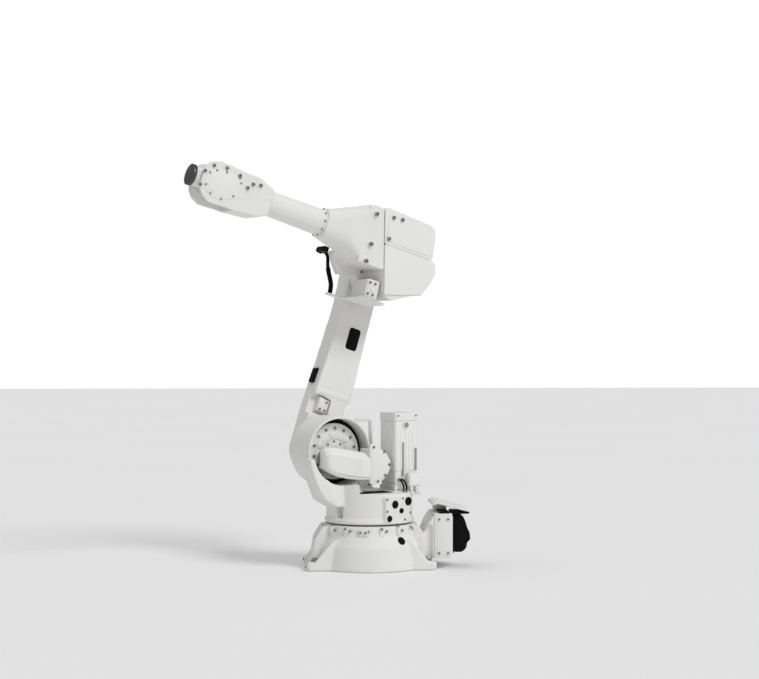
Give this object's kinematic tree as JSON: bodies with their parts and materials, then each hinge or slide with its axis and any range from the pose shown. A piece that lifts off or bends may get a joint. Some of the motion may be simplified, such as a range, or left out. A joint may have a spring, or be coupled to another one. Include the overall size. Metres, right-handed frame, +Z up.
{
  "type": "industrial robot arm",
  "caption": "Floor-standing six-axis robot arm: cast base, turntable, leaning lower arm on its right side, elbow with tubular forearm, slim forked wrist and tool flange.",
  "frame": {"origin": "on the turntable's vertical axis, at the floor face of the base", "axes": "+Z up along axis 1, +X away from the base's connector box, +Y to the left of somebody standing behind the arm"},
  "size_m": [1.0756, 0.6182, 1.513],
  "materials": {
    "light_paint": "satin near-white powder coat with a fine texture",
    "cover_plastic": "satin near-white moulded cover",
    "black_plastic": "matt black moulding",
    "black_rubber": "matt black hose",
    "dark_steel": "blackened machined steel",
    "dark_paint": "grey machined and painted drive parts"
  },
  "bodies": {
    "base": {"base_casting": "light_paint", "rear_box": "light_paint", "rear_lid": "light_paint", "connector_block": "black_plastic", "signal_connector": "black_plastic", "base_plug": "black_plastic"},
    "turntable": {"turntable_casting": "light_paint", "axis_2_hub": "light_paint", "axis_2_motor": "dark_paint", "axis_2_motor_cover": "cover_plastic", "axis_2_bridge": "light_paint", "bridge_bracket": "light_paint", "axis_1_motor": "cover_plastic", "axis_1_terminal_box": "light_paint", "lifting_lug": "light_paint", "drum_plug_1": "black_plastic", "drum_plug_2": "black_plastic", "drum_plug_3": "black_plastic", "drum_plug_4": "black_plastic"},
    "lower_arm": {"lower_arm_casting": "light_paint", "stop_block": "light_paint", "arm_side_plug": "black_plastic", "arm_front_plug": "black_plastic", "arm_lower_cover": "light_paint", "arm_upper_cover": "light_paint"},
    "upper_arm": {"elbow_casting": "light_paint", "rear_cover": "cover_plastic", "bottom_bracket": "light_paint", "axis_3_motor": "light_paint", "hose_gland": "light_paint", "elbow_hose": "black_rubber"},
    "forearm": {"forearm_tube": "light_paint", "wrist_casting": "light_paint", "wrist_cover_left": "cover_plastic", "wrist_cover_right": "cover_plastic"},
    "wrist": {"tilt_housing": "light_paint"},
    "tool_flange": {"tool_flange": "dark_steel"}
  },
  "joints": [
    {"name": "axis_1_turn", "type": "hinge", "parent": "base", "child": "turntable", "pos_m": [0, 0, 0.2], "axis": [0, 0, 1], "range_deg": [-206, 154]},
    {"name": "axis_2_lower_arm", "type": "hinge", "parent": "turntable", "child": "lower_arm", "pos_m": [0.13482, 0.06576, 0.445], "axis": [-0.4384, 0.8988, 0], "range_deg": [-77.5, 172.5]},
    {"name": "axis_3_upper_arm", "type": "hinge", "parent": "lower_arm", "child": "upper_arm", "pos_m": [-0.05437, -0.02652, 1.1126], "axis": [0.4384, -0.8988, 0], "range_deg": [-73.5, 181.5]},
    {"name": "axis_4_forearm_roll", "type": "hinge", "parent": "upper_arm", "child": "forearm", "pos_m": [0.17633, 0.086, 1.30584], "axis": [0.864, 0.4214, 0.2756], "range_deg": [-400, 400]},
    {"name": "axis_5_wrist_bend", "type": "hinge", "parent": "forearm", "child": "wrist", "pos_m": [0.604, 0.29459, 1.44228], "axis": [0.4384, -0.8988, 0], "range_deg": [-120, 120]},
    {"name": "axis_6_flange_roll", "type": "hinge", "parent": "wrist", "child": "tool_flange", "pos_m": [0.67139, 0.32746, 1.46378], "axis": [0.864, 0.4214, 0.2756], "range_deg": [-400, 400]}
  ]
}
